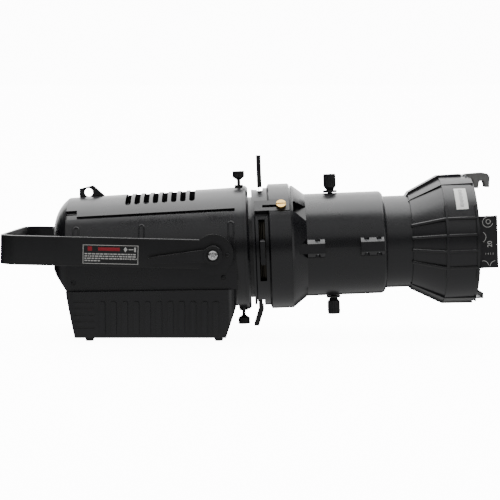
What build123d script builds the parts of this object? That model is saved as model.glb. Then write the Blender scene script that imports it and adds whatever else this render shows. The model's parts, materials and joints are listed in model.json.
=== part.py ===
from build123d import *
import math
import os

# Ellipsoidal (profile) spotlight with an LED light engine.  Millimetres.
# Part frame: +X is the way the beam leaves, +Z is up, the feet stand on z = 0.
# The optical pieces are drawn in the beam frame: x along the beam from the tilt
# pivot, y across, z up, and then placed by beam().  The base is drawn level, with
# x from the tilt pivot and z from the floor, and then placed by level().

# ---- driving dimensions -------------------------------------------------------
pivot_x = -49.89           # tilt pivot, along the object
pivot_z = 124.0            # tilt pivot above the floor
nose_up = 2.3              # the beam axis rises by this many degrees
yoke_rise = 1.3            # the folded yoke rises to the rear by this many degrees

wall = 3.0                 # casting thickness
running = 0.1              # radial clearance of a turning or sliding fit

housing_rear = -205.0      # beam frame, x of the shells' rear edge
housing_front = 31.0
housing_r_rear = 81.5
housing_r_front = 87.0
cap_rear = -226.5
cover_edge = 43.5          # degrees above level at which the top cover ends
shell_edge = 40.0          # degrees above level at which the side shells end
slot_count = 8
slot_pitch = 12.9
slot_width = 8.0
first_slot = -119.0

flange_front = 49.5
flange_r = 89.0
neck_r = 72.4
neck_rear = 24.0
plate_rear = 54.5          # rear face of the barrel's back plate
gate_rear = 57.5
lock_screw_x = 37.5

gate_r_small = 84.0
gate_r = 89.5
gate_step = 79.0
gate_end = 109.5
cone_end = 130.0
gate_bore = 79.0
cover_floor_r = 82.5       # the gate casting under the sliding cover
cover_low = 37.5           # degrees above level at which the sliding cover ends
cover_travel = 24.0
drop_slot = (82.0, 94.0)

barrel_r = 73.6
barrel_front = 242.0
barrel_bore = 70.6
tube_r = 66.0
tube_bore = 63.0
tube_rear = 137.0
flare_start = 278.0
flare_end = 322.0
rim_r = 91.0
rim_bore = 86.5
rim_front = 367.5
focus_x = 168.0
focus_back = 20.0
focus_out = 40.0

shutter_thickness = 0.8
grip_thickness = 6.5
grip_width = 32.0
grip_length = 46.0
slot_half = 43.0
spacer_notch = 16.4

stud_r = 5.9
boss_r = 18.0
boss_end = 109.0
yoke_inner = 110.0
yoke_thickness = 5.0
yoke_height = 40.0
yoke_reach = 293.0
yoke_bend = 28.0
yoke_disc_r = 27.5
clamp_hole_r = 6.5

base_half = 92.5
rib_height = 3.0
rib_count = 11
rib_pitch = 15.65
first_rib = -153.5
floor_gap = 6.8            # height of the feet
seam_rear = (-205.7, 70.0)
seam_front = (31.0, 74.0)

# the lower rear corner of the cap leans forward along this line
lean_start = (-236.5, -1.0)
lean_end = (-185.0, -77.5)
socket_lean = math.degrees(math.atan2(lean_end[0] - lean_start[0], lean_start[1] - lean_end[1]))
socket_middle = (-216.2, 0, -31.2)
button_places = (-24, -8, 8, 24)
panel_rear = -228.0
eye_hole = (-182.0, 205.2)
eye_hole_r = 6.0
rear_wall_lean = math.degrees(math.atan2(192 - 205.7, 63.2))
foot_places = (-174.0, 6.5)
foot_y = 68.0
board_z = 15.0
fan_z = 8.0
cover_screw_x = 95.7
cover_screw_angle = 43.0
lug_spans = ((cone_end, 154.0), (204.0, 239.0 - 3))
clip_pin_x = 361.0
clip_pin_z = 89.3


# ---- drawing helpers ----------------------------------------------------------
def beam(shape):
    """Place a shape drawn in the beam frame."""
    return Pos(pivot_x, 0, pivot_z) * Rot(0, -nose_up, 0) * shape


def level(shape):
    """Place a shape drawn level, x from the pivot and z from the floor."""
    return Pos(pivot_x, 0, 0) * shape


def swung(shape):
    """Place a shape drawn in the yoke's own frame, x forward and z up from the pivot."""
    return Pos(pivot_x, 0, pivot_z) * Rot(0, yoke_rise, 0) * shape


def block(x0, x1, y0, y1, z0, z1):
    return Pos((x0 + x1) / 2, (y0 + y1) / 2, (z0 + z1) / 2) * Box(x1 - x0, y1 - y0, z1 - z0)


def rod_x(r, x0, x1, y=0, z=0):
    return Pos((x0 + x1) / 2, y, z) * Rot(0, 90, 0) * Cylinder(r, x1 - x0)


def rod_y(r, y0, y1, x=0, z=0):
    return Pos(x, (y0 + y1) / 2, z) * Rot(90, 0, 0) * Cylinder(r, y1 - y0)


def rod_z(r, z0, z1, x=0, y=0):
    return Pos(x, y, (z0 + z1) / 2) * Cylinder(r, z1 - z0)


def side_face(points):
    """A face in the XZ plane."""
    return Plane.XZ * make_face(Polyline(*points, close=True))


def turned(points):
    """A solid turned about the X axis from (x, radius) points."""
    return revolve(side_face(points), Axis.X, 360)


def sector(points, start, end):
    """The same, between two angles: 0 is the near side (-Y), 90 the top, 180 the far side."""
    return Rot(90 - end, 0, 0) * revolve(side_face(points), Axis.X, end - start)


def side_plate(points, y0, y1):
    """An outline in the XZ plane, extruded from y0 to y1."""
    return Pos(0, y1, 0) * extrude(side_face(points), y1 - y0)


def at_angle(shape, angle):
    """Turn a shape drawn at the top (90 degrees) to another angle about the X axis."""
    return Rot(90 - angle, 0, 0) * shape


def mirrored(shape):
    return mirror(shape, about=Plane.XZ)


def group(shapes):
    return Compound(children=list(shapes))


def housing_r(x):
    part_way = (x - housing_rear) / (housing_front - housing_rear)
    return housing_r_rear + part_way * (housing_r_front - housing_r_rear)


def seam_z(x):
    slope = (seam_front[1] - seam_rear[1]) / (seam_front[0] - seam_rear[0])
    return seam_rear[1] + (x - seam_rear[0]) * slope


def below_seam():
    """All the space under the plane where the housing stands on the base."""
    return level(side_plate([(-400, seam_z(-400)), (200, seam_z(200)), (200, -100), (-400, -100)],
                            -200, 200))


# ---- housing ------------------------------------------------------------------
def shell_ring(start, end, outer=0.0, inner=wall, front=housing_front):
    """A stretch of the housing's tapered wall; outer and inner are depths under the skin."""
    points = [(housing_rear, housing_r_rear - outer), (front, housing_r(front) - outer),
              (front, housing_r(front) - inner), (housing_rear, housing_r_rear - inner)]
    return sector(points, start, end)


def housing_top_cover():
    cover = shell_ring(cover_edge, 180 - cover_edge)
    notch_x = (housing_rear - 1, housing_rear + 15)
    notch = sector([(notch_x[0], 70), (notch_x[1], 70), (notch_x[1], 95), (notch_x[0], 95)], 40, 52)
    cover -= notch + mirrored(notch)
    slot = Pos(0, 0, 60) * extrude(RectangleRounded(slot_width, 93, 3.5), 40)
    for i in range(slot_count):
        cover -= Pos(first_slot + i * slot_pitch, 0, 0) * slot
    cover -= block(-197, -151, -2.6, 2.6, 60, 100)
    # light baffle under the vents
    spine = [(-128, 70.6), (-54, 70.6), (-54, 52), (-20, 52), (-20, housing_r(-20) - 1.5),
             (-128, housing_r(-128) - 1.5)]
    cover += side_plate(spine, -1.5, 1.5)
    return beam(cover)


def housing_side(near):
    shell = shell_ring(0, shell_edge)
    shell += shell_ring(34, cover_edge + 4, wall, wall + 2.2, 21)
    plan = [(housing_rear, -housing_r_rear), (housing_front, -housing_r_front),
            (housing_front, wall - housing_r_front), (housing_rear, wall - housing_r_rear)]
    shell += Pos(0, 0, -62) * extrude(make_face(Polyline(*plan, close=True)), 62)
    shell += rod_y(boss_r, -boss_end, -78)
    shell -= rod_y(stud_r, -boss_end - 1, -70)
    # arched latch pocket and the oblong pocket under it, beside the front ring
    arch = block(16.5, 26.5, -95, -85, 6, 22) + rod_y(5, -95, -85, 21.5, 22)
    shell -= arch
    shell -= block(15, 31.5, -95, -85.2, -10, 2)
    for x, z in housing_screw_places():
        shell -= rod_y(3.2, -95, 1.2 - housing_r(x), x, z)
        shell -= rod_y(1.6, -95, -70, x, z)
    shell = beam(shell) - below_seam()
    return shell if near else mirrored(shell)


def housing_screw_places():
    return [(-196, 4), (-106, 4), (-196, -34), (12, -34)]


def housing_screws():
    screws = []
    for x, z in housing_screw_places():
        skin = housing_r(x)
        screw = rod_y(3, -skin - 0.6, 1.2 - skin, x, z) + rod_y(1.5, 1.2 - skin, 10 - skin, x, z)
        screw -= rod_y(1.3, -skin - 1, -skin + 0.6, x, z)
        screws.append(beam(screw))
        screws.append(mirrored(beam(screw)))
    return group(screws)


def housing_front_ring():
    points = [(housing_front, neck_r + running), (flange_front, neck_r + running),
              (flange_front, flange_r - 3), (flange_front - 3, flange_r), (43, flange_r),
              (43, housing_r_front), (housing_front, housing_r_front)]
    ring = turned(points)
    ring += turned([(22, neck_r + running), (housing_front, neck_r + running),
                    (housing_front, 83.4), (22, 83.2)])
    for side in (1, -1):
        ends = sorted((side * 60, side * 95))
        ring += rod_z(6.2, *sorted((side * 80, side * 90.5)), lock_screw_x)
        ring -= rod_z(2.4 + running, *ends, lock_screw_x)
    ring -= rod_x(neck_r + running, 20, 52)
    return beam(ring)


def cap_outline(depth):
    """Half outline of the rear cap, (x, half width), sunk by depth under the skin."""
    rear = cap_rear + depth
    return make_face(Line((housing_rear, 0), (housing_rear, housing_r_rear - depth))
                     + ThreePointArc((housing_rear, housing_r_rear - depth),
                                     (-217.5 + depth * 0.8, 70.0 - depth * 0.6), (rear, 50 - depth * 0.3))
                     + Line((rear, 50 - depth * 0.3), (rear, 0))
                     + Line((rear, 0), (housing_rear, 0)))


def cap_volume(depth):
    outline = cap_outline(depth)
    half_dome = revolve(Plane.XZ * outline, Axis.X, 90)
    foot = Pos(0, 0, -62) * extrude(outline, 62)
    volume = half_dome + mirrored(half_dome) + foot + mirrored(foot)
    lean = [(lean_start[0], lean_start[1] + depth), (lean_start[0], -80), (lean_end[0] + depth, -80),
            (lean_end[0] + depth, lean_end[1])]
    return volume - side_plate(lean, -90, 90)


def leaning(shape, y):
    """Place a shape whose +X is outward on the leaning lower face of the rear cap."""
    return Pos(socket_middle[0], y, socket_middle[2]) * Rot(0, 180 - socket_lean, 0) * shape


def rear_cap():
    cap = cap_volume(0) - cap_volume(wall)
    cap -= block(cap_rear - 5, cap_rear + 5, -24, 24, 12, 34)
    for y in button_places:
        cap -= rod_x(4.7, cap_rear - 5, cap_rear + 5, y, 0)
    for y in (-26, 26):
        cap -= leaning(rod_x(11.2, -12, 12), y)
    # tongue that the shells sit on
    tongue = [(housing_rear - 4, 74.5), (housing_rear + 14, 75.5), (housing_rear + 14, 78.3),
              (housing_rear, 78.3), (housing_rear - 4, 77.5)]
    cap += sector(tongue, 49, 131)
    return beam(cap) - below_seam()


def power_sockets():
    sockets = []
    for y in (-26, 26):
        socket = rod_x(13, 0.6, 2.4) + rod_x(11, -11, 6)
        socket -= rod_x(8.5, -4, 7)
        socket += rod_x(3, -5, 3)
        socket += block(-5, 2, 5.5, 9, -1.5, 1.5)
        sockets.append(beam(leaning(socket, y)))
    return group(sockets)


def control_panel():
    panel = Pos(panel_rear, 0, 14) * Rot(0, 90, 0) * extrude(RectangleRounded(56, 72, 5), 1.5)
    panel -= block(panel_rear - 1, cap_rear + 1, -24, 24, 12, 34)
    for y in button_places:
        panel -= rod_x(4.6, panel_rear - 1, cap_rear + 1, y, 0)
    return beam(panel)


def display_window():
    glass = block(panel_rear + 0.3, cap_rear + 2.2, -23.9, 23.9, 12.1, 33.9)
    return beam(glass)


def menu_button(y):
    button = rod_x(4.5, panel_rear - 1.8, cap_rear + 4.5, y, 0)
    button = chamfer(button.edges().group_by(Axis.X)[0], 0.6)
    return beam(button)


def safety_eye():
    points = [(-195, 190), (-195, 210.5), (-177, 215), (-175, 215), (-156, 198), (-156, 190)]
    eye = side_plate(points, -2.5, 2.5)
    eye = level(eye) - beam(sector([(housing_rear, 0), (housing_front, 0),
                                    (housing_front, housing_r(housing_front) - wall),
                                    (housing_rear, housing_r(housing_rear) - wall)], 60, 120))
    foot = beam(block(-188, -150, -14, 14, 60, housing_r(-150) - wall - 0.2))
    foot -= beam(turned([(housing_rear - 2, 0), (housing_front, 0), (housing_front, housing_r_front - wall - 2.5),
                         (housing_rear - 2, housing_r_rear - wall - 2.5)]))
    foot = foot & beam(turned([(housing_rear, 0), (housing_front, 0), (housing_front, housing_r_front - wall),
                               (housing_rear, housing_r_rear - wall)]))
    eye += foot
    eye -= level(rod_y(eye_hole_r, -5, 5, eye_hole[0], eye_hole[1]))
    return eye


# ---- base with the driver electronics -------------------------------------------
def base_side(offset):
    """Side outline of the base, sunk by offset."""
    return [(seam_rear[0] + offset * 1.25, seam_rear[1] - offset), (-192 + offset, floor_gap),
            (17 - offset * 0.8, floor_gap), (31 - offset, 49 - offset * 0.3), (seam_front[0] - offset,
                                                                             seam_front[1] - offset)]


def base_volume(offset):
    outline = side_plate(base_side(offset), -base_half, base_half)
    middle = (seam_rear[0] + seam_front[0]) / 2
    length = seam_front[0] - seam_rear[0] - 2 * offset
    plan = RectangleRounded(length, 2 * (base_half - offset), 16 - offset)
    return outline & (Pos(middle, 0, 0) * extrude(plan, 90))


def base_casting():
    base = base_volume(0) - base_volume(wall)
    base -= block(-185, 14, -70, 70, 40, 80)
    rib = Rot(90, 0, 0) * extrude(RectangleRounded(7.5, 46.5, 2.5), rib_height)
    for i in range(rib_count):
        x = first_rib + i * rib_pitch
        base += Pos(x, -base_half, 34.2) * rib
        base += Pos(x, base_half + rib_height, 34.2) * rib
    for y in (-34, 34):
        base -= on_rear_wall(rod_x(12.2, -5, 5), y)
    # clearance for the round front ring
    round_seat = turned([(18.5, 0), (18.5, 83.7), (housing_front - 0.1, 83.7), (housing_front - 0.1, flange_r + 0.2),
                         (60, flange_r + 0.2), (60, 0)])
    base = level(base) - beam(round_seat)
    # shallow louvres round the rear corners
    for i in range(5):
        z = 20 + i * 9
        louvre = block(-203, -164, -base_half - 1, 1 - base_half, z, z + 3.4)
        base -= level(louvre + mirrored(louvre))
    return base


def on_rear_wall(shape, y):
    """Place a shape whose +X is outward on the base's leaning rear wall."""
    return Pos(-199.2, y, 40) * Rot(0, 180 + rear_wall_lean, 0) * shape


def data_sockets():
    sockets = []
    for y in (-34, 34):
        socket = rod_x(12, -9, 1) + rod_x(14, 0.1, 1.6)
        socket -= rod_x(9.5, -6, 3)
        for k in range(5):
            angle = math.radians(200 + 35 * k)
            socket += rod_x(0.8, -7, -1, 5.5 * math.cos(angle), 5.5 * math.sin(angle))
        sockets.append(level(on_rear_wall(socket, y)))
    return group(sockets)


def base_plate():
    plate = base_volume(wall + 0.3) & block(-300, 100, -100, 100, floor_gap, floor_gap + 2.5)
    for x in foot_places:
        for y in (-foot_y, foot_y):
            plate -= rod_z(2.1, 0, 20, x, y)
    for i in range(9):
        plate -= Pos(-130 + i * 14, 0, 0) * extrude(SlotOverall(90, 5, rotation=90), 20)
    return level(plate)


def feet():
    pieces = []
    for x in foot_places:
        for y in (-foot_y, foot_y):
            foot = Pos(x, y, floor_gap / 2) * Cone(5.4, 7.2, floor_gap)
            foot += rod_z(2, floor_gap, floor_gap + 2.5, x, y)
            foot -= rod_z(2.2, -1, 3, x, y)
            pieces.append(level(foot))
    return group(pieces)


def driver_board():
    board = block(-100, -8, -70, 70, board_z, board_z + 1.6)
    top = board_z + 1.6
    for i in range(4):
        board += rod_z(8, top, top + 26, -88 + i * 20, -52)
    for i in range(3):
        board += block(-90 + i * 26, -72 + i * 26, -30, -6, top, top + 18)
    board += block(-92, -20, 8, 14, top, top + 22)
    for i in range(5):
        board += block(-94 + i * 15, -84 + i * 15, 30, 44, top, top + 4)
    board += block(-60, -30, 52, 66, top, top + 10)
    for x in (-96, -12):
        for y in (-66, 66):
            board -= rod_z(1.7, 0, 40, x, y)
    return level(board)


def board_spacers():
    pieces = []
    for x in (-96, -12):
        for y in (-66, 66):
            spacer = rod_z(3, floor_gap + 2.5, board_z, x, y) + rod_z(1.6, board_z, board_z + 3.4, x, y)
            spacer += rod_z(2.8, board_z + 1.6, board_z + 4, x, y)
            pieces.append(level(spacer))
    return group(pieces)


def power_supply():
    case = block(-178, -108, -62, 62, floor_gap + 2.5, 46)
    for i in range(7):
        case -= block(-170, -116, -51 + i * 16, -45 + i * 16, 44.6, 47)
    case -= block(-112, -107, -50, 50, 14, 26)
    for i in range(6):
        case += block(-112, -108.5, -46 + i * 17, -34 + i * 17, 15, 23)
    return level(case)


# ---- light engine -----------------------------------------------------------------
def emitter_places():
    places = [(0.0, 0.0)]
    for ring, count in ((17.0, 6), (33.0, 12)):
        for k in range(count):
            angle = 2 * math.pi * k / count
            places.append((ring * math.cos(angle), ring * math.sin(angle)))
    return places


def led_heat_sink():
    sink = rod_x(68, -66, -56) + rod_x(14, -150, -60)
    core = rod_x(70, -150, -62)
    fins = [block(-150, -62, -64.1 + 7 * i, -61.9 + 7 * i, -75, 75) for i in range(19)]
    for fin in fins:
        sink += fin & core
    return beam(sink)


def led_board():
    board = rod_x(46, -56, -54.4)
    for y, z in emitter_places():
        board += block(-54.4, -53.2, y - 2.2, y + 2.2, z - 2.2, z + 2.2)
    board += block(-54.4, -48, -6, 6, 39, 45)
    return beam(board)


def collimator_array():
    array = rod_x(43.5, -40, -37.5) - block(-60, -30, -7, 7, 37, 50)
    for y, z in emitter_places():
        cup = Pos(-46, y, z) * Rot(0, 90, 0) * Cone(3.2, 7.6, 12)
        array += cup
    for k in range(3):
        angle = math.radians(30 + 120 * k)
        array += rod_x(2, -54.4, -39, 41 * math.cos(angle), 41 * math.sin(angle))
    return beam(array)


def reflector_tube():
    tube = turned([(-37.4, 47.5), (18, 41.5), (18, 43), (-37.4, 49), (-53, 49), (-53, 47.5)])
    for k in range(4):
        angle = 45 + 90 * k
        leg = block(-56, -52, -5, 5, 47.8, 60)
        tube += at_angle(leg, angle)
    return beam(tube)


def condenser_lens():
    lens = turned([(2, 0), (2, 0.1), (4.2, 40), (11.6, 40), (15, 0.1), (15, 0)])
    return beam(lens)


def fan_frame():
    frame = block(-186, -161, -46, 46, -38, 54)
    frame -= rod_x(43.6, -190, -150, 0, fan_z)
    for y in (-40, 40):
        for z in (-32, 48):
            frame -= rod_x(2.2, -190, -150, y, z)
    for k in range(4):
        spoke = Rot(90 * k + 20, 0, 0) * block(-164, -161, -1.5, 1.5, 5, 45)
        frame += Pos(0, 0, fan_z) * spoke
    frame += rod_x(18, -164, -161, 0, fan_z)
    frame -= rod_x(2.05, -190, -150, 0, fan_z)
    return beam(frame)


def fan_rotor():
    rotor = rod_x(17.5, -184, -165.5)
    rotor -= rod_x(15.5, -181, -165)
    rotor += rod_x(2, -184, -161)
    for k in range(7):
        blade = Pos(-174.5, 0, 28) * Rot(0, 0, 38) * Box(1.6, 24, 25)
        rotor += Rot(360 / 7 * k, 0, 0) * blade
    return beam(Pos(0, 0, fan_z) * rotor)


# ---- tilt pivot, lever and yoke -----------------------------------------------------
def pivot_studs():
    near = rod_y(stud_r, -127.5, -72)
    return group([beam(near), mirrored(beam(near))])


def friction_discs():
    disc = rod_y(24, -yoke_inner + 0.05, -boss_end) - rod_y(stud_r + running, -112, -105)
    return group([beam(disc), mirrored(beam(disc))])


def tilt_lever():
    arm = [(2, 9.2), (-84, 4.6), (-87.5, 3.2), (-88.5, 0), (-87.5, -3.2), (-84, -4.6), (2, -9.2)]
    lever = side_plate(arm, -126, -119)
    lever += rod_y(12.6, -128, -115.3)
    lever -= rod_y(stud_r + running, -130, -110)
    lever -= rod_y(8.4, -130, -126)
    # pad under the tip of the handle
    lever += rod_y(4.6, -126, -117, -80, 0)
    return Pos(pivot_x, 0, pivot_z) * Rot(0, -5.0, 0) * lever


def lever_screw():
    screw = rod_y(7, -131.5, -127.6)
    screw -= rod_y(3, -133, -129.5)
    screw += rod_y(1.2, -131, -129)
    return beam(screw)


def pivot_nut():
    nut = Pos(0, 121.5, 0) * Rot(90, 0, 0) * extrude(RegularPolygon(10, 6), 4.4, both=True)
    nut += rod_y(14, 115.3, 117.1)
    nut -= rod_y(stud_r, 100, 140)
    cap = Pos(0, 125.9, 0) * rod_y(8, 0, 1.6)
    cap -= rod_y(stud_r, 100, 140)
    return beam(nut + cap + rod_y(7, 127.5, 131.5))


def on_outer_face(edge):
    middle = edge.center()
    outer = yoke_inner + yoke_thickness
    if middle.X > -yoke_reach + yoke_bend:
        return abs(abs(middle.Y) - outer) < 0.01 and middle.X < -yoke_disc_r
    bend_x, bend_y = yoke_bend - yoke_reach, outer - yoke_bend
    if abs(middle.Y) < bend_y:
        return abs(middle.X + yoke_reach) < 0.01
    start = edge @ 0
    return abs(math.hypot(start.X - bend_x, abs(start.Y) - bend_y) - yoke_bend) < 0.01


def yoke_frame():
    def loop(half, reach, bend):
        outline = make_face(Polyline((0, -half), (-reach, -half), (-reach, half), (0, half), close=True))
        corners = outline.vertices().group_by(Axis.X)[0]
        return extrude(fillet(corners, bend), yoke_height)

    outer = yoke_inner + yoke_thickness
    frame = loop(outer, yoke_reach, yoke_bend)
    frame -= Pos(0.5, 0, 0) * loop(yoke_inner, yoke_reach - yoke_thickness + 0.5, yoke_bend - yoke_thickness)
    frame = Pos(0, 0, -yoke_height / 2) * frame
    for side in (-1, 1):
        faces = sorted((side * yoke_inner, side * outer))
        frame += rod_y(yoke_disc_r, *faces)
        frame -= rod_y(stud_r + running, faces[0] - 1, faces[1] + 1)
    frame -= rod_y(1.6, -120, -105, 19.6, 0)
    frame -= rod_x(clamp_hole_r, -yoke_reach - 10, -yoke_reach + 10)
    for y in (-45, 45):
        frame -= Pos(-yoke_reach - 5, y, 0) * Rot(0, 90, 0) * extrude(SlotOverall(34, 9, rotation=90), 20)
    # rounded outer corners of the bar
    rear_edges = [e for e in frame.edges() if abs(abs(e.center().Z) - yoke_height / 2) < 0.01
                  and on_outer_face(e)]
    return swung(fillet(rear_edges, 1.2))


def yoke_label():
    label = Pos(-139, -115.0, -3) * Rot(90, 0, 0) * extrude(RectangleRounded(78, 28, 1.5), 0.5)
    return swung(label)


def stop_screw():
    screw = rod_y(2.9, -117.2, -115) + rod_y(1.55, -115, -110.1)
    screw -= rod_y(1.2, -118, -116.2)
    return swung(Pos(19.6, 0, 0) * screw)


# ---- thumb screws -------------------------------------------------------------------
def rotation_lock(side):
    """Thumb screw through the front ring that clamps the barrel's neck."""
    screw = rod_z(2.4, neck_r + 0.3, 98)
    screw += Pos(0, 0, 99.5) * Cone(2.6, 8, 4)
    knob = rod_z(8.2, 101.4, 110.4)
    for k in range(12):
        angle = 2 * math.pi * k / 12
        knob -= rod_z(1, 101, 111, 8.5 * math.cos(angle), 8.5 * math.sin(angle))
    screw += knob
    screw = Pos(lock_screw_x, 0, 0) * screw
    return beam(screw if side > 0 else Rot(180, 0, 0) * screw)


def focus_knob(side):
    knob = rod_z(3.4, 64.5, 76) + rod_z(10, 74.4, 77.4)
    knob += Pos(0, 0, 79.9) * Cone(5, 8.2, 5)
    grip = rod_z(8.6, 82.3, 101)
    for k in range(16):
        angle = 2 * math.pi * k / 16
        grip -= rod_z(0.8, 84, 99, 8.9 * math.cos(angle), 8.9 * math.sin(angle))
    knob += grip
    knob = Pos(focus_x, 0, 0) * knob
    return beam(knob if side > 0 else Rot(180, 0, 0) * knob)


# ---- gate barrel ------------------------------------------------------------------
def barrel_neck():
    neck = turned([(neck_rear, 69), (gate_rear, 69), (gate_rear, 83), (plate_rear, 83),
                   (plate_rear, neck_r), (neck_rear, neck_r)])
    ring = turned([(19.5, 69), (21.8, 69), (neck_rear, 69), (neck_rear, 72), (21.8, 72), (21.8, 76),
                   (19.5, 76)])
    return group([beam(neck), beam(ring)])


def shutter_planes():
    """Plane of each blade along the beam, and the middle of its grip."""
    return {"bottom": (61.6, 62.4), "far": (63.8, 64.2), "top": (66.0, 67.0), "near": (68.2, 67.6)}


def gate_barrel():
    outer = [(gate_rear, gate_r_small - 1.5), (gate_rear + 1.5, gate_r_small), (gate_step - 2.5, gate_r_small),
             (gate_step, gate_r), (gate_end, gate_r), (cone_end, barrel_r)]
    inner = [(cone_end, barrel_bore), (116, barrel_bore), (108, gate_bore), (gate_rear, gate_bore)]
    gate = turned(outer + inner)
    # low seat for the sliding cover
    seat = [(gate_rear - 1, cover_floor_r), (gate_end + 1, cover_floor_r), (gate_end + 1, 86.3),
            (gate_end + 4.1, 86.3), (gate_end + 4.1, 96), (gate_rear - 1, 96)]
    gate -= sector(seat, cover_low - 0.5, 180.5 - cover_low)
    # raised bands either side of the cone
    gate += sector([(gate_end - 1, 86), (gate_end + 2, 86), (gate_end + 2, 88.4), (gate_end - 1, 90.3)], -60, 36)
    gate += sector([(gate_end - 1, 86), (gate_end + 2, 86), (gate_end + 2, 88.4), (gate_end - 1, 90.3)], 144, 240)
    # slots for the four shutters
    planes = shutter_planes()
    for name, angle in (("near", 0), ("top", 90), ("far", 180), ("bottom", 270)):
        middle = planes[name][1]
        half = 3.8 if name == "top" else 4.6
        cut = block(middle - half, middle + half, -slot_half, slot_half, 60, 95)
        if name == "bottom":
            cut = block(middle - half, middle + 6, -slot_half, slot_half, 60, 95)
        gate -= at_angle(cut, angle)
    # drop-in accessory slot under the cover
    gate -= block(drop_slot[0], drop_slot[1], -50, 50, 55, 90)
    # sunk windows on the cone
    window = [(gate_end + 2.6, -9), (gate_end + 2.6, 9.5), (cone_end + 1, 9.5), (cone_end + 1, -16.5)]
    window = Pos(0, 0, 72.4) * extrude(make_face(Polyline(*window, close=True)), 25)
    window = at_angle(window, 43.5)
    gate -= window
    gate -= mirrored(window)
    # tails of the side lugs
    for side in (-1, 1):
        lug = block(116, cone_end, *sorted((side * 74, side * 82.5)), -7, 7)
        gate += lug
    gate -= at_angle(rod_z(2.1, 70, 95, cover_screw_x, 0), cover_screw_angle)
    return beam(gate)


def gate_plates():
    rear = rod_x(gate_bore - 0.2, gate_rear, gate_rear + 0.8) - rod_x(41, 50, 70)
    front = rod_x(gate_bore - 0.2, 71.6, 73.2) - rod_x(38.5, 50, 80)
    plates = [rear, front]
    # spacer rings that keep the blades apart, notched where a grip is pushed in
    for x0, x1 in ((58.5, 60.9), (62.3, 63.1), (64.5, 65.3), (66.7, 67.5), (68.9, 71.3)):
        spacer = rod_x(gate_bore - 0.2, x0, x1) - rod_x(41, 50, 80)
        for angle in (0, 90, 180, 270):
            spacer -= at_angle(block(50, 80, -spacer_notch, spacer_notch, 53, 90), angle)
        plates.append(spacer)
    return group([beam(plate) for plate in plates])


def slot_cover():
    points = [(gate_rear + 0.7, cover_floor_r + 0.3), (77.8, cover_floor_r + 0.3), (80.3, 88.0), (106.2, 88.0),
              (108.8, 86.7), (108.8, 88.3), (106.5, 89.9), (gate_step, 89.9), (76.5, 84.7),
              (gate_rear + 0.7, 84.7)]
    cover = sector(points, cover_low, 180 - cover_low)
    wing = block(gate_rear + 0.7, gate_step, -8, 10.4, 84, 89.3)
    wing = at_angle(wing, cover_screw_angle)
    cover += wing + mirrored(wing)
    flat = at_angle(block(50, 108.2, -14, 14, 89.3, 100), cover_screw_angle)
    cover -= flat
    cover -= mirrored(flat)
    cover -= block(50, 71.3, -slot_half + 1, slot_half - 1, 50, 95)
    slide = block(cover_screw_x - cover_travel - 2.2, cover_screw_x + 2.3, -2.3, 2.3, 78, 95)
    cover -= at_angle(slide, cover_screw_angle)
    return beam(cover)


def cover_screw():
    screw = rod_z(2, 79.5, 90.4, cover_screw_x, 0)
    head = rod_z(6.8, 90.2, 94.2, cover_screw_x, 0)
    head -= block(cover_screw_x - 8, cover_screw_x + 8, -0.8, 0.8, 92.8, 95)
    return beam(at_angle(screw + head, cover_screw_angle))


def shutter(name):
    """Blade with its tongue and grip, drawn as the top one; the top slides down to close."""
    blade_x, grip_x = shutter_planes()[name]
    angle = {"near": 0, "top": 90, "far": 180, "bottom": 270}[name]
    grip_start = {"near": 79.0, "top": 86.0, "far": 79.0, "bottom": 56.0}[name]
    inner = grip_start - 46
    half = shutter_thickness / 2
    blade = block(blade_x - half, blade_x + half, -38, 38, inner, inner + 26)
    blade += block(blade_x - half, blade_x + half, -13, 13, inner + 25, grip_start + 3)
    plate = RectangleRounded(grip_thickness, grip_width, 1.6)
    if name == "bottom":
        low = extrude(RectangleRounded(5.8, grip_width, 1.4), 30)
        grip = Pos(grip_x, 0, grip_start) * low
        tail = [(grip_x - 2.9, 84), (grip_x + 4.4, 84), (grip_x + 4.4, 89), (58.6, 112.4), (51.9, 112.4),
                (grip_x - 2.9, 90)]
        grip += side_plate(tail, -grip_width / 2, grip_width / 2)
    else:
        grip = Pos(grip_x, 0, grip_start) * extrude(plate, grip_length)
    return beam(at_angle(blade + grip, angle))


# ---- barrel and lens tube -----------------------------------------------------------
def barrel_half(upper):
    front = barrel_front
    outline = (Line((cone_end, barrel_bore), (cone_end, barrel_r))
               + Line((cone_end, barrel_r), (front - 6.5, barrel_r))
               + ThreePointArc((front - 6.5, barrel_r), (front - 1.9, barrel_r - 1.9), (front, barrel_r - 6.5))
               + Line((front, barrel_r - 6.5), (front, tube_r + running))
               + Line((front, tube_r + running), (front - 5, tube_r + running))
               + Line((front - 5, tube_r + running), (front - 8, barrel_bore))
               + Line((front - 8, barrel_bore), (cone_end, barrel_bore)))
    half = Rot(-90, 0, 0) * revolve(Plane.XZ * make_face(outline), Axis.X, 180)
    lug_side = [(-72, 0), (-82.5, 0), (-82.5, 6.8), (-77, 12), (-72, 13.5)]
    for x0, x1 in lug_spans:
        lug = Pos(x0, 0, 0) * extrude(Plane.YZ * make_face(Polyline(*lug_side, close=True)), x1 - x0)
        half += lug + mirrored(lug)
    slot = SlotOverall(focus_back + focus_out + 8.4, 7.2)
    slot_middle = focus_x + (focus_out - focus_back) / 2
    half -= Pos(slot_middle, 0, 60) * extrude(slot, 20)
    for x, y in clamp_screw_places():
        half -= rod_z(3.6, 6.4, 20, x, y)
        half -= rod_z(1.9, -1, 10, x, y)
    if not upper:
        half = mirror(half, about=Plane.XY)
    return beam(half)


def clamp_screw_places():
    return [(x, side * 77.8) for x in (144.0, 212.0, 229.0) for side in (-1, 1)]


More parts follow.
